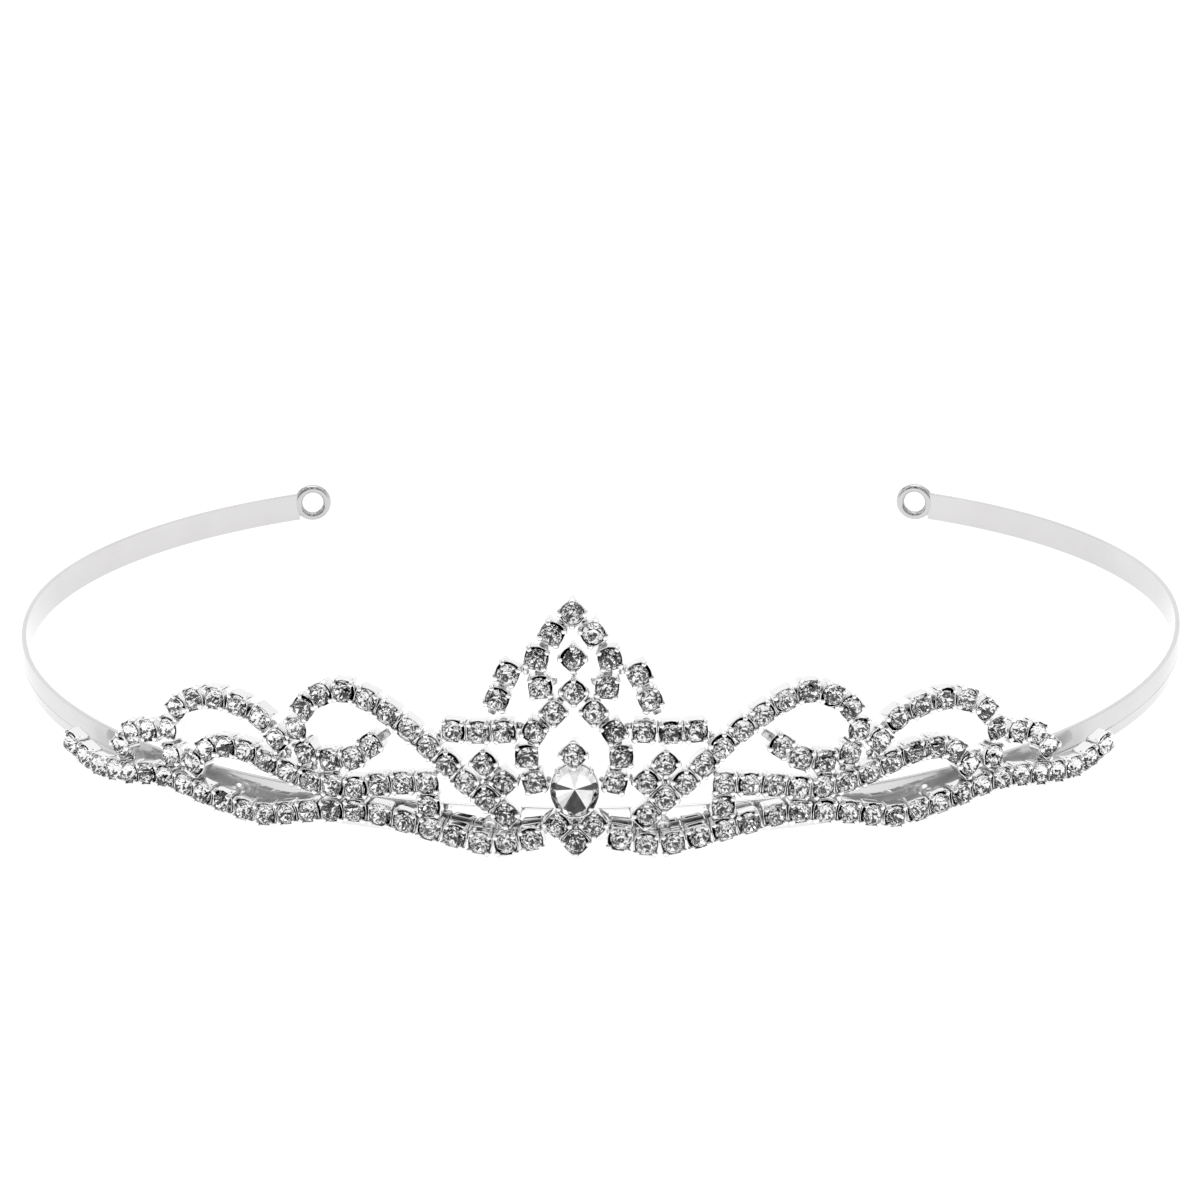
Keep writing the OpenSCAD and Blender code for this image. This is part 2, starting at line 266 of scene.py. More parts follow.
def rounded_square(half, corner, steps=4):
    """A square outline with round corners, with its side middles among the points."""
    outline = []
    on_side = (half - corner) * SIDE_POINT
    for quarter in range(4):
        a0 = quarter * math.pi / 2
        c, s = math.cos(a0), math.sin(a0)
        own = [(half, 0), (half, on_side)]
        for k in range(steps + 1):
            a = math.pi / 2 * k / steps
            own.append((half - corner + corner * math.cos(a), half - corner + corner * math.sin(a)))
        own.append((on_side, half))
        outline.extend((c * x - s * y, s * x + c * y) for x, y in own)
    return np.array(outline)


# ------------------------------------------------------------------ cups, links and claws
CUP_CORNER = 0.4
WALL_LEVELS = [  # half width, height, share of the dip between the claws, share of roundness
    (1.15, 0.0, 0, 0), (1.24, 0.05, 0, 0), (1.28, 0.16, 0, 0), (1.3, 0.9, 0, 0),
    (1.325, 1.5, 1, 0), (1.325, 1.64, 1, 0), (1.305, 1.69, 1, 0), (1.27, 1.66, 1, 0.5),
    (1.2, 1.5, 1, 1), (1.17, 1.3, 0.5, 1), (1.1, 0.6, 0, 1),
]
# The wall dips between the claws: how deep, how wide as a share of a side, and how round.
WALL_DIP = 0.12
DIP_WIDTH = 0.62
DIP_CURVE = 0.7
CLAW_PATH = [  # distance from the cup's axis, height, width, thickness
    (1.56, 1.15, 0.66, 0.2), (1.585, 1.6, 0.66, 0.2), (1.56, 1.82, 0.62, 0.2),
    (1.46, 1.98, 0.56, 0.2), (1.3, 2.04, 0.5, 0.18), (1.13, 1.99, 0.42, 0.16),
    (1.04, 1.93, 0.26, 0.1),
]
# How square a claw's section is: 1 is an ellipse and less is squarer.
CLAW_EASE = 0.7


def cup_body():
    """The cup's wall and back, from its back up the outside, over the rim and down the inside."""
    rings, around = [], 0
    for half, height, dip, roundness in WALL_LEVELS:
        outline = rounded_square(half, CUP_CORNER * half / CUP_HALF)
        around = len(outline)
        circle = outline / np.linalg.norm(outline, axis=1)[:, None] * half
        outline = outline * (1 - roundness) + circle * roundness
        turn = np.arctan2(outline[:, 1], outline[:, 0])
        lean = np.tan(abs((turn + math.pi / 4) % (math.pi / 2) - math.pi / 4))
        z = height - dip * WALL_DIP * np.clip(1 - lean / DIP_WIDTH, 0, 1) ** DIP_CURVE
        rings.append(np.column_stack([outline, z]))
    return np.concatenate(rings), tube_faces(len(rings), around)


def claw(path, angle, around=10):
    """A tapered tab that stands on a corner and bends in over the stone."""
    points = np.array(path, float)
    tangent = np.gradient(points[:, :2], axis=0)
    rings = []
    for (reach, z, width, thick), (dr, dz) in zip(points, tangent):
        across = unit([-dz, dr, 0])[:2]
        ring = []
        for k in range(around):
            a = 2 * math.pi * k / around
            c, s = math.cos(a), math.sin(a)
            side = width / 2 * math.copysign(abs(c) ** CLAW_EASE, c)
            lift = thick / 2 * math.copysign(abs(s) ** CLAW_EASE, s)
            ring.append((reach + across[0] * lift, side, z + across[1] * lift))
        rings.append(ring)
    skin = np.array(rings).reshape(-1, 3)
    c, s = math.cos(angle), math.sin(angle)
    turn = np.array([[c, s, 0], [-s, c, 0], [0, 0, 1]])
    return skin @ turn, tube_faces(len(path), around)


CUP_POINTS, CUP_FACES = cup_body()
# A cup's closed back, which is its last face but one, and the eased edge around it are duller.
AROUND = len(CUP_POINTS) // len(WALL_LEVELS)
CUP_FINISH = [int(i < 2 * AROUND or i == len(CUP_FACES) - 2) for i in range(len(CUP_FACES))]


def tilted(place, amount):
    """The same place, tipped by a few degrees as a hand-set piece is."""
    a, b = rng.gauss(0, amount), rng.gauss(0, amount)
    out = place.out + math.radians(a) * place.right + math.radians(b) * place.up
    other = Place(place.origin, out)
    c, s = place.right @ other.right, place.right @ other.up
    angle = math.atan2(s, c) + math.radians(rng.gauss(0, amount))
    return Place(place.origin, out, angle)


# How much of a claw's random bend each step of its path takes, and that bend outwards and upwards
CLAW_BEND = (0, 0, 0, 0.5, 0.8, 1, 1)
BEND_OUT = 0.05
BEND_UP = 0.03


def add_cup(shape, place):
    """A cup with four claws, each bent a little differently."""
    shape.add(place.world(CUP_POINTS), CUP_FACES, CUP_FINISH)
    for k in range(4):
        path = []
        for (reach, z, wide, thick), bend in zip(CLAW_PATH, CLAW_BEND):
            reach += bend * rng.uniform(-BEND_OUT, BEND_OUT)
            z += bend * rng.uniform(-BEND_UP, BEND_UP)
            path.append((reach, z, wide, thick))
        points, faces = claw(path, math.pi / 4 + k * math.pi / 2)
        shape.add(place.world(points), faces)


def add_bar(shape, a, b, out, width=0.9, low=0.1, high=0.55, corner=0.1):
    """A flat bar with eased edges from a to b, just inside the cups' backs."""
    along = unit(b - a)
    side = np.cross(out, along)
    half, mid, tall = width / 2, (low + high) / 2, (high - low) / 2
    section = []
    for sx, sz, first in ((1, -1, -90), (1, 1, 0), (-1, 1, 90), (-1, -1, 180)):
        for k in range(3):
            t = math.radians(first + 45 * k)
            section.append((sx * (half - corner) + corner * math.cos(t),
                            mid + sz * (tall - corner) + corner * math.sin(t)))
    length = np.linalg.norm(b - a)
    rings = []
    for at, share in ((0, 0.8), (corner, 1), (length - corner, 1), (length, 0.8)):
        for x, z in section:
            lift = mid + (z - mid) * share
            rings.append(a + along * at + side * x * share + out * lift)
    shape.add(rings, tube_faces(4, len(section)), 1)


CROWN_POST = [  # share of the way from the crest's surface to the cup's back, radius
    (0, 0.6), (0.35, 0.55), (0.4, 0.68), (0.55, 0.6), (0.8, 0.52), (0.95, 0.6), (1.02, 0.4),
]


def add_post(shape, place, around=20):
    """The round post between the solder on the crest's back and the back of the crown cup."""
    reach = place.out @ (place.origin - (0, axis_y, 0)) - crest_radius
    foot = Place(place.origin - reach * place.out, place.out)
    rings = [p for share, r in CROWN_POST for p in ring_of(around, r, share * reach)]
    shape.add(foot.world(rings), tube_faces(len(CROWN_POST), around))


# The runs that end in a cut link, at their upper end (1) or lower end (-1), and its length
TAIL_END = {"inner_curl": 1, "shoulder_arc": -1}
TAIL_L = 2.2


def add_links(shape, node, places):
    """The bars between a chain's neighbouring cups, and the cut link at its end."""
    for i, p in enumerate(places):
        for q in places[i + 1:]:
            if np.linalg.norm(p.origin - q.origin) < LINK_REACH and node.endswith("_chain"):
                add_bar(shape, p.origin, q.origin, unit(p.out + q.out))
    for kind, sign in TAIL_END.items():
        if node.startswith(kind):
            last = max(places, key=lambda p: sign * p.origin[2])
            near = min((p for p in places if p is not last),
                       key=lambda p: np.linalg.norm(p.origin - last.origin))
            away = unit(last.origin - near.origin)
            add_bar(shape, last.origin, last.origin + away * TAIL_L, last.out)


# ------------------------------------------------------------------ stones
def cut_stone(radius, table_r, levels, star_share, low_share, folds=8, stretch=(1, 1)):
    """A brilliant cut: (points, crown faces, pavilion faces).

    levels are the heights of the culet, the girdle's two edges and the table.
    """
    culet, girdle_low, girdle_high, table = levels
    narrow = math.cos(math.pi / folds)
    star_r = table_r + (radius - table_r) * star_share
    star_z = table - (star_r * narrow - table_r) * (table - girdle_high) / (radius - table_r)
    low_r = radius * low_share
    low_z = culet + low_r * narrow * (girdle_low - culet) / radius
    points = (
        ring_of(folds, table_r, table, 0.5, stretch)
        + ring_of(folds, star_r, star_z, 0, stretch)
        + ring_of(2 * folds, radius, girdle_high, 0, stretch)
        + ring_of(2 * folds, radius, girdle_low, 0, stretch)
        + ring_of(folds, low_r, low_z, 0, stretch)
        + [(0, 0, culet)]
    )
    n = folds
    tb, st, gh, gl, lo, cu = 0, n, 2 * n, 4 * n, 6 * n, 7 * n
    crown = [tuple(range(tb, tb + n))]
    pavilion = []
    for k in range(n):
        before, after = (k - 1) % n, (k + 1) % n
        own, nxt, prv = 2 * k, (2 * k + 1) % (2 * n), (2 * k - 1) % (2 * n)
        crown.append((tb + before, st + k, tb + k))
        crown.append((tb + k, st + k, gh + nxt, st + after))
        crown.append((st + k, gh + own, gh + nxt))
        crown.append((st + k, gh + prv, gh + own))
        for a, b in ((own, nxt), (nxt, (2 * k + 2) % (2 * n))):
            crown.append((gh + a, gl + a, gl + b, gh + b))
        pavilion.append((cu, lo + after, gl + nxt, lo + k))
        pavilion.append((lo + k, gl + nxt, gl + own))
        pavilion.append((lo + k, gl + own, gl + prv))
    return np.array(points), crown, pavilion


ROUND_LEVELS = (CULET_Z, *GIRDLE_Z, TABLE_Z)
ROUND_CUT = cut_stone(STONE_R, TABLE_R, ROUND_LEVELS, star_share=0.5, low_share=0.4)


def add_stone(shape, place, cut, shares):
    """A stone whose silvered facets are bright, or dark or grey with a painted reflection, in the
    given shares.
    """
    points, crown, pavilion = cut
    finish = [0] * len(crown) + rng.choices((1, 2, 3), shares, k=len(pavilion))
    shape.add(place.world(points), crown + pavilion, finish, True)


# ------------------------------------------------------------------ materials
class Nodes:
    """A material's node tree, with short calls for the nodes used here."""

    def __init__(self, name):
        self.material = bpy.data.materials.new(name)
        self.material.use_nodes = True
        self.tree = self.material.node_tree
        self.shader = self.tree.nodes["Principled BSDF"]

    def new(self, kind, **inputs):
        node = self.tree.nodes.new(kind)
        for key, value in inputs.items():
            node.inputs[key.replace("_", " ")].default_value = value
        return node

    def link(self, a, b):
        self.tree.links.new(a, b)

    def noise(self, scale, detail=3.0, stretch=(1, 1, 1), rough=0.55):
        place = self.new("ShaderNodeTexCoord")
        mapping = self.new("ShaderNodeMapping", Scale=stretch)
        self.link(place.outputs["Object"], mapping.inputs["Vector"])
        made = self.new("ShaderNodeTexNoise", Scale=scale, Detail=detail, Roughness=rough)
        self.link(mapping.outputs["Vector"], made.inputs["Vector"])
        return made.outputs["Fac"]

    def ramp(self, value, low, high, a, b):
        made = self.new("ShaderNodeValToRGB")
        for end, (at, colour) in enumerate(((low, a), (high, b))):
            made.color_ramp.elements[end].position = at
            made.color_ramp.elements[end].color = (*colour, 1)
        self.link(value, made.inputs["Fac"])
        return made.outputs["Color"]

    def span(self, value, low, high, to_low, to_high):
        made = self.new("ShaderNodeMapRange")
        ends = {"From Min": low, "From Max": high, "To Min": to_low, "To Max": to_high}
        for key, number in ends.items():
            made.inputs[key].default_value = number
        self.link(value, made.inputs["Value"])
        return made.outputs["Result"]

    def bump(self, value, strength, distance):
        made = self.new("ShaderNodeBump", Strength=strength, Distance=distance)
        self.link(value, made.inputs["Height"])
        self.link(made.outputs["Normal"], self.shader.inputs["Normal"])


GRAIN_DEPTH = 0.02
GAP_REACH = 0.5
GAP_SAMPLES = 6
# Painted light on the strip's front fades out between these y values, in millimetres.
FRONT_LIGHT_SPAN = (-58, -48)
ARM_METALLIC = 0.4


def metal(name, dark, light, rough, scale, stretch, bump, painted_gap_shade=0.0, front=None):
    """Plated metal: a base colour and roughness that vary, over a fine relief.

    grime is how much painted shade darkens it in narrow gaps, and front is the painted light
    added to the strip's front between the y values of FRONT_LIGHT_SPAN.
    """
    n = Nodes(name)
    n.shader.inputs["Metallic"].default_value = 1.0
    grain = n.noise(scale, 4.0, stretch)
    cloud = n.noise(90.0, 3.0)
    tone = n.ramp(cloud, 0.3, 0.7, dark, light)
    if front:
        # Painted light: the front of the strip gets brightness added to its colour, and is more
        # mirror-like than its arms.
        place = n.new("ShaderNodeTexCoord")
        parts = n.new("ShaderNodeSeparateXYZ")
        n.link(place.outputs["Object"], parts.inputs["Vector"])
        start, stop = (y * MM for y in FRONT_LIGHT_SPAN)
        painted_front_light = n.ramp(n.span(parts.outputs["Y"], start, stop, 0, 1), 0, 1, front, (0, 0, 0))
        added = n.new("ShaderNodeMixRGB", Fac=1.0)
        added.blend_type = "ADD"
        n.link(tone, added.inputs["Color1"])
        n.link(painted_front_light, added.inputs["Color2"])
        tone = added.outputs["Color"]
        metallic = n.span(parts.outputs["Y"], start, stop, 1.0, ARM_METALLIC)
        n.link(metallic, n.shader.inputs["Metallic"])
    # Painted shade: the colour darkens in narrow gaps between and under parts, where shade falls.
    if painted_gap_shade:
        gap = n.new("ShaderNodeAmbientOcclusion", Distance=GAP_REACH * MM)
        gap.samples = GAP_SAMPLES
        shade = n.ramp(gap.outputs["AO"], 0.15, 0.7, (1 - painted_gap_shade,) * 3, (1, 1, 1))
        mixed = n.new("ShaderNodeMixRGB", Fac=1.0)
        mixed.blend_type = "MULTIPLY"
        n.link(tone, mixed.inputs["Color1"])
        n.link(shade, mixed.inputs["Color2"])
        tone = mixed.outputs["Color"]
    n.link(tone, n.shader.inputs["Base Color"])
    n.link(n.span(grain, 0.25, 0.75, *rough), n.shader.inputs["Roughness"])
    n.bump(grain, bump, GRAIN_DEPTH * MM)
    return n.material


STRIP_COLOURS = ((0.6, 0.59, 0.595), (0.64, 0.63, 0.635))
STRIP_GRAIN = (1, 1, 60)
EVEN_GRAIN = (1, 1, 1)
# The strip's outer metal carries painted light on its front.
strip_metal = metal("strip_silver", *STRIP_COLOURS, (0.04, 0.1), 60.0, STRIP_GRAIN, 0.03,
                    front=(0.28, 0.285, 0.285))
inner_metal = metal("strip_inner_silver", *STRIP_COLOURS, (0.06, 0.12), 60.0, STRIP_GRAIN, 0.03)
ring_metal = metal("ring_silver", (0.52, 0.515, 0.515), (0.6, 0.595, 0.595),
                   (0.12, 0.2), 500.0, EVEN_GRAIN, 0.02)
# The cups' colour carries painted shade in narrow gaps.
cup_metal = metal("cup_silver", (0.86, 0.86, 0.86), (0.95, 0.95, 0.95),
                  (0.05, 0.14), 1400.0, EVEN_GRAIN, 0.06, painted_gap_shade=0.85)
back_metal = metal("cup_back_silver", (0.5, 0.5, 0.5), (0.62, 0.62, 0.62),
                   (0.14, 0.26), 1400.0, EVEN_GRAIN, 0.06)
solder_metal = metal("solder_silver", (0.84, 0.84, 0.84), (0.93, 0.93, 0.93),
                     (0.12, 0.26), 1100.0, EVEN_GRAIN, 0.2)


def crystal_material():
    """Clear cut glass, with faint streaks in its tint."""
    n = Nodes("cut_crystal")
    n.shader.inputs["Transmission Weight"].default_value = 1.0
    n.shader.inputs["IOR"].default_value = 1.56
    n.shader.inputs["Roughness"].default_value = 0.0
    tint = n.ramp(n.noise(260.0, 2.0), 0.35, 0.7, (0.965, 0.968, 0.975), (1, 1, 1))
    n.link(tint, n.shader.inputs["Base Color"])
    return n.material


def foil_material(name, dark, light):
    """The silvered backs of the stones; dark and grey ones hold a painted reflection of dark parts
    of the room in their colour.
    """
    n = Nodes(name)
    n.shader.inputs["Metallic"].default_value = 1.0
    mottle = n.noise(1500.0, 2.0)
    n.link(n.ramp(mottle, 0.3, 0.75, (dark,) * 3, (light,) * 3), n.shader.inputs["Base Color"])
    n.link(n.span(mottle, 0.3, 0.7, 0.02, 0.06), n.shader.inputs["Roughness"])
    return n.material


crystal = crystal_material()
# The dark and grey foils are painted reflection: their colour stands in for dark parts of the room
# mirrored in the facets.
foils = [
    foil_material("foil_bright", 0.88, 0.99), foil_material("foil_painted_dark", 0.02, 0.09),
    foil_material("foil_painted_grey", 0.66, 0.78),
]
# How many of a stone's silvered facets in a hundred are bright, dark and grey; the dark and grey
# ones are painted reflection
ROUND_SHARES = (87, 9, 4)
OVAL_SHARES = (46, 6, 48)

# ------------------------------------------------------------------ the crest
# How far a hand-set cup or stone leans, as a standard deviation in degrees
CUP_TILT = 1.2
STONE_TILT = 2.2

for name in metal_nodes:
    shape = Shape()
    for place in cups_in[name]:
        add_cup(shape, tilted(place, CUP_TILT))
    add_links(shape, name, cups_in[name])
    if name == "crown_cup":
        add_post(shape, cups_in[name][0])
    shape.piece("set_" + name, "tiara", [cup_metal, back_metal], [name])

for name in stone_nodes:
    shape = Shape()
    for place in stones_in[name]:
        set_stone = tilted(place, STONE_TILT)
        spun = Place(set_stone.origin, set_stone.out, rng.uniform(0, math.pi))
        add_stone(shape, spun, ROUND_CUT, ROUND_SHARES)
    shape.piece("cut_" + name, "tiara", [crystal, *foils], [name])

# ---- the oval ----
OVAL_HALF = (2.5, 3.0)
OVAL_LEVELS = (1.5, 2.1, 2.3, 2.95)
OVAL_STRETCH = (1, OVAL_HALF[1] / OVAL_HALF[0])
OVAL_TABLE_SHARE = 0.78
OVAL_TABLE_R = OVAL_HALF[0] * OVAL_TABLE_SHARE
OVAL_FOLDS = 20
OVAL_STEPS = 64
OVAL_WALL = [  # how far outside the stone, height
    (-0.25, 0.0), (-0.08, 0.06), (0.0, 0.25), (0.05, 0.9), (0.16, 2.05), (0.2, 2.25),
    (0.16, 2.3), (0.08, 2.28), (0.03, 2.2), (-0.05, 1.9), (-0.6, 0.75),
]
OVAL_CLAW = [  # distance outside the stone, height, width, thickness
    (0.02, 1.2, 0.55, 0.4), (0.16, 1.9, 0.55, 0.4), (0.16, 2.35, 0.52, 0.36),
    (0.04, 2.6, 0.5, 0.32), (-0.16, 2.76, 0.44, 0.28), (-0.36, 2.8, 0.3, 0.18),
]


def oval_place():
    """Where the oval setting's back lies on the crest's surface."""
    low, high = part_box("oval_setting")
    middle = np.array((low + high) / 2) / MM
    direction = outward(middle)
    back = np.array([0, axis_y, 0]) + direction * crest_radius
    return Place((back[0], back[1], middle[2]), direction)


def oval_ring(grow, z):
    """An oval a little larger than the stone, at one height."""
    ring = []
    for k in range(OVAL_STEPS):
        t = 2 * math.pi * k / OVAL_STEPS
        ring.append(((OVAL_HALF[0] + grow) * math.cos(t), (OVAL_HALF[1] + grow) * math.sin(t), z))
    return ring


oval = oval_place()
shape = Shape()
skin = [p for grow, z in OVAL_WALL for p in oval_ring(grow, z)]
shape.add(oval.world(skin), tube_faces(len(OVAL_WALL), OVAL_STEPS))
for k in range(4):
    t = math.pi / 4 + k * math.pi / 2
    edge = math.hypot(OVAL_HALF[0] * math.cos(t), OVAL_HALF[1] * math.sin(t))
    angle = math.atan2(OVAL_HALF[1] * math.sin(t), OVAL_HALF[0] * math.cos(t))
    points, faces = claw([(edge + r, z, w, d) for r, z, w, d in OVAL_CLAW], angle, 14)
    shape.add(oval.world(points), faces)
shape.piece("set_oval", "tiara", [cup_metal], ["oval_setting"])

shape = Shape()
oval_cut = cut_stone(OVAL_HALF[0], OVAL_TABLE_R, OVAL_LEVELS, star_share=0.4, low_share=0.9,
                     folds=OVAL_FOLDS, stretch=OVAL_STRETCH)
add_stone(shape, oval, oval_cut, OVAL_SHARES)
shape.piece("cut_oval", "tiara", [crystal, *foils], ["oval_stone"])

# ------------------------------------------------------------------ the strip
strip_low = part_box("band_front")[0]
front_y = strip_low[1] / MM + FRONT_RADIUS + STRIP_T / 2
base_z = strip_low[2] / MM
STRIP_STEPS = 150
EASE_STEPS = 4
EDGE = 0.1
BEVEL_H = 0.6
BEVEL_IN = 0.13
CREASE_LINE = [  # depth under the outer face, height over CREASE_H
    (0.05, -0.26), (0.01, -0.1), (0.07, -0.04), (0.07, 0.02), (0, 0.07), (0, 0.4),
]


def strip_section():
    """The strip's outline as (distance outwards, height).

    It is flat inside, creased outside and bevelled under the upper outer edge, with eased edges.
    """
    half = STRIP_T / 2
    low = half - CREASE_IN
    outline = []

    def ease(cx, cz, first):
        for k in range(EASE_STEPS + 1):
            t = math.radians(first + 90 * k / EASE_STEPS)
            outline.append((cx + EDGE * math.cos(t), cz + EDGE * math.sin(t)))

    ease(-half + EDGE, EDGE, 180)
    ease(low - EDGE, EDGE, 270)
    outline.extend((half - depth, CREASE_H + height) for depth, height in CREASE_LINE)
    outline.append((half, STRIP_H - BEVEL_H))
    ease(half - EDGE - BEVEL_IN, STRIP_H - EDGE, 0)
    ease(-half + EDGE, STRIP_H - EDGE, 90)
    return outline


def strip_line(angle):
    """(x, y, outward x, outward y) on the right half of the strip's middle line."""
    a = math.radians(angle)
    out = (math.sin(a), -math.cos(a))
    if angle <= 90:
        return FRONT_RADIUS * out[0], front_y + FRONT_RADIUS * out[1], *out
    shift = FRONT_RADIUS - REAR_RADIUS
    return shift + REAR_RADIUS * out[0], front_y + REAR_RADIUS * out[1], *out


def strip_half(side):
    """Points, faces and material numbers of the strip from the front centre to one tip."""
    section = strip_section()
    points = []
    for k in range(STRIP_STEPS + 1):
        x, y, ox, oy = strip_line(TIP_ANGLE * k / STRIP_STEPS)
        points.extend((side * (x + ox * d), y + oy * d, base_z + z) for d, z in section)
    faces = tube_faces(STRIP_STEPS + 1, len(section))
    # The flat inner face lies between the section's last and first points.
    finish = [int(i % len(section) == len(section) - 1) for i in range(len(faces))]
    return points, faces, finish


# Creases sharper than SHARP degrees keep a hard edge.
SHARP = 28
for side, body, word in ((-1, "left_arm", "left"), (1, "right_arm", "right")):
    shape = Shape()
    shape.add(*strip_half(side))
    replaced = ["band_arm_" + word] + (["band_front"] if side > 0 else [])
    band = shape.piece("strip_" + word, None, [strip_metal, inner_metal], replaced)
    band.data.set_sharp_from_angle(angle=math.radians(SHARP))
    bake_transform(band)

# ------------------------------------------------------------------ eyelets
EYELET_R = 2.025
WIRE_R = 0.575
RING_STEPS = 72
WIRE_STEPS = 20
# How much fuller the wire gets beside the strip, and the size and place of the solder there
FULLER = 0.22
TIP_SOLDER = (0.75, 0.5, 1.45)
TIP_SOLDER_BACK = 0.45
TIP_SOLDER_UP = 0.2
EYELET_HEADING = TIP_ANGLE + EYELET_TURN


def eyelet_shape(side, word):
    """Points and faces of a ring, with its middle and its along, up and through directions."""
    low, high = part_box("eyelet_" + word)
    middle = np.array((low + high) / 2) / MM
    a = math.radians(EYELET_HEADING)
    along = np.array([side * math.cos(a), math.sin(a), 0])
    up = np.array([0, 0, 1.0])
    through = np.cross(along, up)
    around, wire = RING_STEPS, WIRE_STEPS
    points = []
    for j in range(around):
        t = 2 * math.pi * j / around
        radial = along * math.cos(t) + up * math.sin(t)
        # The ring's wire is fuller where it is soldered to the strip's end.
        near = max(0.0, -math.cos(t)) ** 3
        for k in range(wire):
            s = 2 * math.pi * k / wire
            r = WIRE_R * (1 + FULLER * near * max(0.0, math.cos(s)))
            reach = EYELET_R + r * math.cos(s)
            points.append(middle + radial * reach + through * WIRE_R * math.sin(s))
    faces = []
    for j in range(around):
        for k in range(wire):
            n, m = (j + 1) % around, (k + 1) % wire
            faces.append((j * wire + k, n * wire + k, n * wire + m, j * wire + m))
    return np.array(points), faces, middle, along, up, through


def blob(shape, centre, axes, sizes, wobble=0.06, rows=10, around=20, seed=0):
    """A soft lump of solder: an ellipsoid whose surface swells and dips a little."""
    own = random.Random(seed)
    phases = [own.uniform(0, 6.28) for _ in range(3)]
    rings = []
    for i in range(1, rows):
        v = math.pi * i / rows
        for k in range(around):
            u = 2 * math.pi * k / around
            uneven = math.sin(2 * u + phases[0]) * math.sin(v)
            uneven += 0.6 * math.sin(3 * u + 2 * v + phases[1])
            uneven += 0.4 * math.cos(5 * v + phases[2])
            swell = 1 + wobble * uneven
            local = (math.sin(v) * math.cos(u), math.sin(v) * math.sin(u), math.cos(v))
            rings.append(centre + sum(swell * c * s * a for c, s, a in zip(local, sizes, axes)))
    shape.add(rings, tube_faces(rows - 1, around))


for side, body, word in ((-1, "left_arm", "left"), (1, "right_arm", "right")):
    points, faces, middle, along, up, through = eyelet_shape(side, word)
    shape = Shape()
    shape.add(points, faces)
    joint = middle - along * (EYELET_R + TIP_SOLDER_BACK)
    joint[2] = base_z + STRIP_H / 2 + TIP_SOLDER_UP
    blob(shape, joint, (along, through, up), TIP_SOLDER, 0.04, 14, 28, side + 5)
    shape.piece("ring_" + word, body, [ring_metal], ["eyelet_" + word])

# ------------------------------------------------------------------ solder and the drop's stem
PAD_SIZES = (0.46, 0.46, 0.36)
PAD_SINK = 0.02
ROUND_STEPS = 24
STEM_STEPS = 18

shape = Shape()
for i, points in enumerate(loose_parts("solder_pads")):
    middle = points.mean(0)
    out = outward(middle)
    back = np.array([0, axis_y, 0]) + out * crest_radius
    side = np.cross([0, 0, 1], out)
    centre = np.array([back[0], back[1], middle[2]]) - out * PAD_SINK
    blob(shape, centre, (side, np.array([0, 0, 1.0]), out), PAD_SIZES, 0.07, 10, 22, i)
shape.piece("solder_pads_soft", "tiara", [solder_metal], ["solder_pads"])

POST_PROFILE = [  # share of the way from the strip to the rail, radius
    (-0.12, 0.35), (-0.08, 0.78), (0.02, 0.86), (0.15, 0.74), (0.35, 0.62), (0.6, 0.58),
    (0.82, 0.66), (0.96, 0.82), (1.06, 0.84), (1.12, 0.4),
]
shape = Shape()
for i, points in enumerate(loose_parts("solder_posts")):
    middle = points.mean(0)
    out = outward(middle)
    side, up = np.cross([0, 0, 1], out), np.array([0, 0, 1.0])
    reach = (points - middle) @ out
    rings = []
    for share, radius in POST_PROFILE:
        at = middle + out * (reach.min() + share * (reach.max() - reach.min()))
        for k in range(ROUND_STEPS):
            t = 2 * math.pi * k / ROUND_STEPS
            swell = 1 + 0.05 * math.sin(2 * t + i) + 0.03 * math.sin(3 * t + 2 * i + share * 3)
            rings.append(at + radius * swell * (side * math.cos(t) + up * math.sin(t)))
    shape.add(rings, tube_faces(len(POST_PROFILE), ROUND_STEPS))
shape.piece("solder_posts_soft", "tiara", [solder_metal], ["solder_posts"])

low, high = (np.array(v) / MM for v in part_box("drop_stem"))
middle = (low + high) / 2
STEM = [  # share of the height from the middle, radius
    (-0.5, 0.2), (-0.49, 0.36), (-0.42, 0.42), (-0.3, 0.38), (0, 0.34), (0.3, 0.38),
    (0.42, 0.42), (0.49, 0.36), (0.5, 0.2),
]
tall = high[2] - low[2]
rings = [middle + p for share, radius in STEM for p in ring_of(STEM_STEPS, radius, share * tall)]
shape = Shape()
shape.add(rings, tube_faces(len(STEM), STEM_STEPS))
shape.piece("drop_stem_wire", "tiara", [ring_metal], ["drop_stem"])

# ------------------------------------------------------------------ stage, light and camera
front_face = np.array([0, strip_low[1] / MM, base_z])


def staged_plane(name, size, location, aim=None):
    """A flat rectangle that belongs to the studio, in metres."""
    mesh = bpy.data.meshes.new(name)
    w, h = size[0] / 2, size[1] / 2
    mesh.from_pydata([(-w, -h, 0), (w, -h, 0), (w, h, 0), (-w, h, 0)], [], [(0, 1, 2, 3)])
    made = bpy.data.objects.new(name, mesh)
    bpy.context.scene.collection.objects.link(made)
    made.location = location
    if aim is not None:
        made.rotation_euler = (Vector(aim) - Vector(location)).to_track_quat("-Z", "Y").to_euler()
    return made


# The floor glows a little, so that it comes out as pale as the background.
FLOOR_SIZE = (6, 6)
FLOOR_GLOW = 0.88
FLOOR_PAINT = ((0.27, 0.27, 0.27), (0.29, 0.29, 0.29))

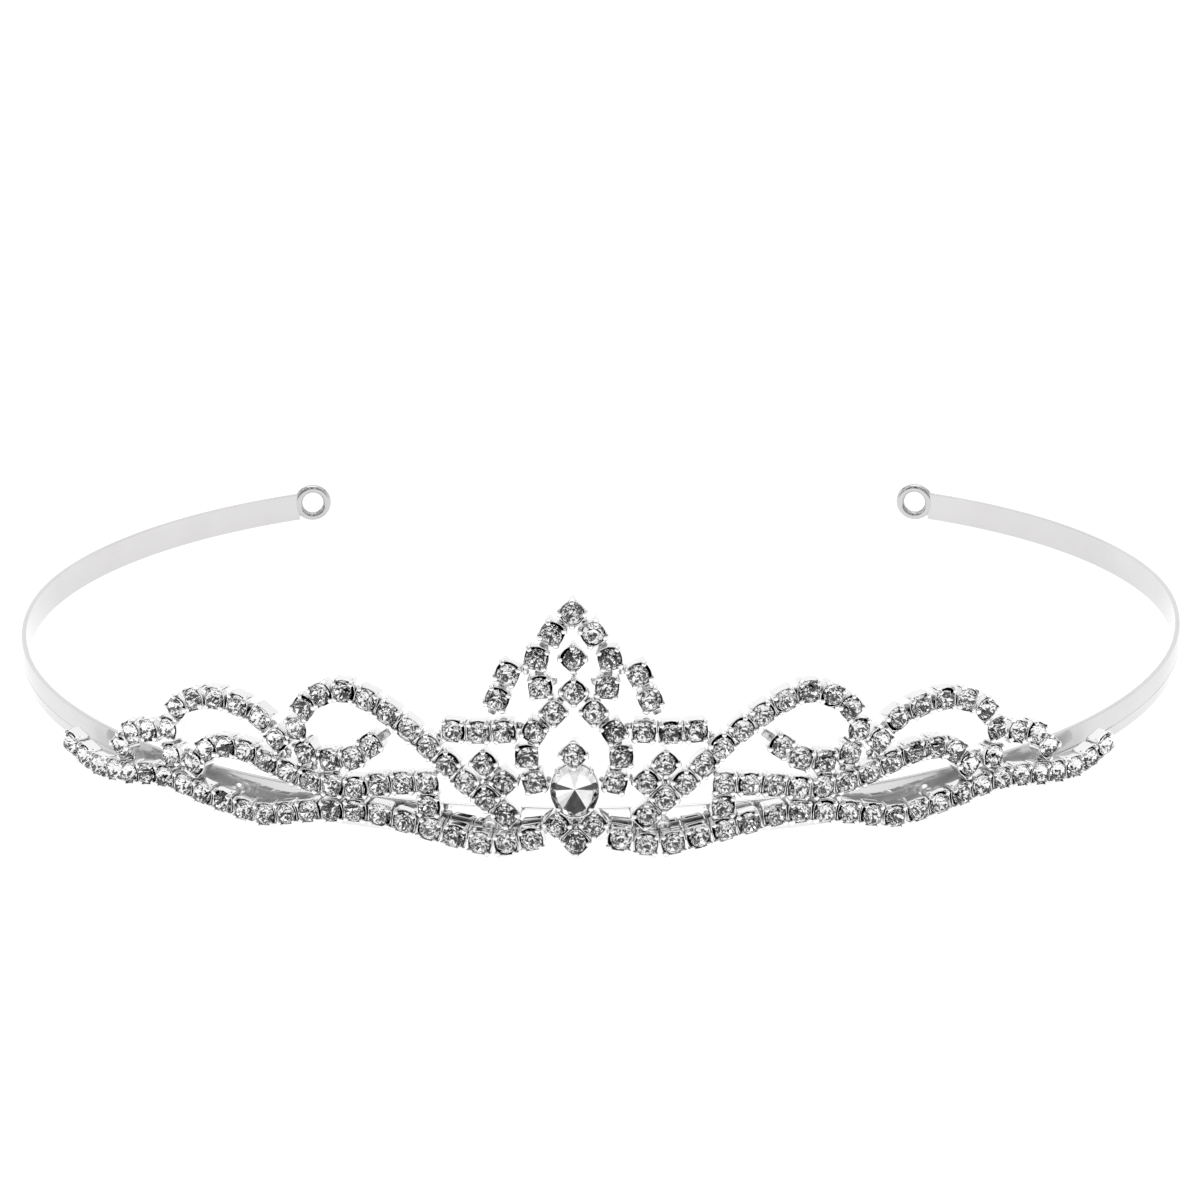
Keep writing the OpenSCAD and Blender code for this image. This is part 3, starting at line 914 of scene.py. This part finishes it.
floor = staged_plane("floor", FLOOR_SIZE, (0, 0, 0))
n = Nodes("floor_paint")
n.shader.inputs["Roughness"].default_value = 0.9
n.shader.inputs["Emission Color"].default_value = (1, 1, 1, 1)
n.shader.inputs["Emission Strength"].default_value = FLOOR_GLOW
n.shader.inputs["Specular IOR Level"].default_value = 0.0
n.link(n.ramp(n.noise(40.0, 2.0), 0.3, 0.7, *FLOOR_PAINT), n.shader.inputs["Base Color"])
floor.data.materials.append(n.material)

world = bpy.data.worlds.new("studio")
world.use_nodes = True
world.node_tree.nodes["Background"].inputs["Color"].default_value = (1, 1, 1, 1)
world.node_tree.nodes["Background"].inputs["Strength"].default_value = 1.0
bpy.context.scene.world = world
bpy.context.scene.view_settings.view_transform = "Standard"


def softbox(name, size, location, power, aim=(0, 0, 0.01)):
    """A rectangular area light that faces the tiara."""
    data = bpy.data.lights.new(name, "AREA")
    data.shape = "RECTANGLE"
    data.size, data.size_y = size
    data.energy = power
    made = bpy.data.objects.new(name, data)
    bpy.context.scene.collection.objects.link(made)
    made.location = location
    made.rotation_euler = (Vector(aim) - Vector(location)).to_track_quat("-Z", "Y").to_euler()
    return made


# Sizes and places in metres, power in watts
softbox("top_box", (0.9, 0.9), (0, 0.1, 1.1), 2.2)
softbox("left_box", (0.35, 0.8), (-0.9, -0.5, 0.5), 1.3)
softbox("right_box", (0.35, 0.8), (0.9, -0.6, 0.6), 1.3)

# Black cards that only reflections see, so that metal and stones have something dark to mirror
n = Nodes("card_black")
n.shader.inputs["Base Color"].default_value = (0.01, 0.01, 0.01, 1)
n.shader.inputs["Roughness"].default_value = 1.0
n.shader.inputs["Specular IOR Level"].default_value = 0.0
CARDS = [  # azimuth, elevation, width, height, in degrees, seen from the tiara
    (-62, 24, 14, 44), (-34, 30, 12, 40), (-12, 34, 9, 36), (9, 40, 9, 34), (31, 28, 12, 42),
    (58, 26, 14, 44), (-46, 66, 40, 9), (18, 70, 46, 9), (-2, 13, 110, 8), (120, 30, 26, 12),
    (-125, 34, 26, 12),
]
CARD_FAR = 0.75
for i, (azimuth, elevation, wide, tall) in enumerate(CARDS):
    a, e = math.radians(azimuth), math.radians(elevation)
    level = CARD_FAR * math.cos(e)
    spot = (math.sin(a) * level, -math.cos(a) * level, CARD_FAR * math.sin(e))
    size = [2 * CARD_FAR * math.tan(math.radians(x / 2)) for x in (wide, tall)]
    card = staged_plane(f"card_{i}", size, spot, (0, 0, 0))
    card.data.materials.append(n.material)
    card.visible_camera = False
    card.visible_diffuse = False
    card.visible_shadow = False

# The photograph's viewpoint, from the middle of the strip's front face, and its angles in degrees
CAMERA_FROM = (15.6, -327.08, 132.39)
LOOK_YAW = 2.238
LOOK_DOWN = 17.814
ROLL = 0.695
camera_data = bpy.data.cameras.new("camera")
camera_data.lens = 98.5
camera_data.sensor_width = 36
camera_data.clip_start = 0.01
camera = bpy.data.objects.new("camera", camera_data)
bpy.context.scene.collection.objects.link(camera)
camera.location = [v * MM for v in front_face + CAMERA_FROM]
camera.rotation_mode = "QUATERNION"
turn = Matrix.Rotation(math.radians(LOOK_YAW), 4, "Z")
pitch = Matrix.Rotation(math.radians(90 - LOOK_DOWN), 4, "X")
roll = Matrix.Rotation(math.radians(-ROLL), 4, "Z")
camera.rotation_quaternion = (turn @ pitch @ roll).to_quaternion()
bpy.context.scene.camera = camera
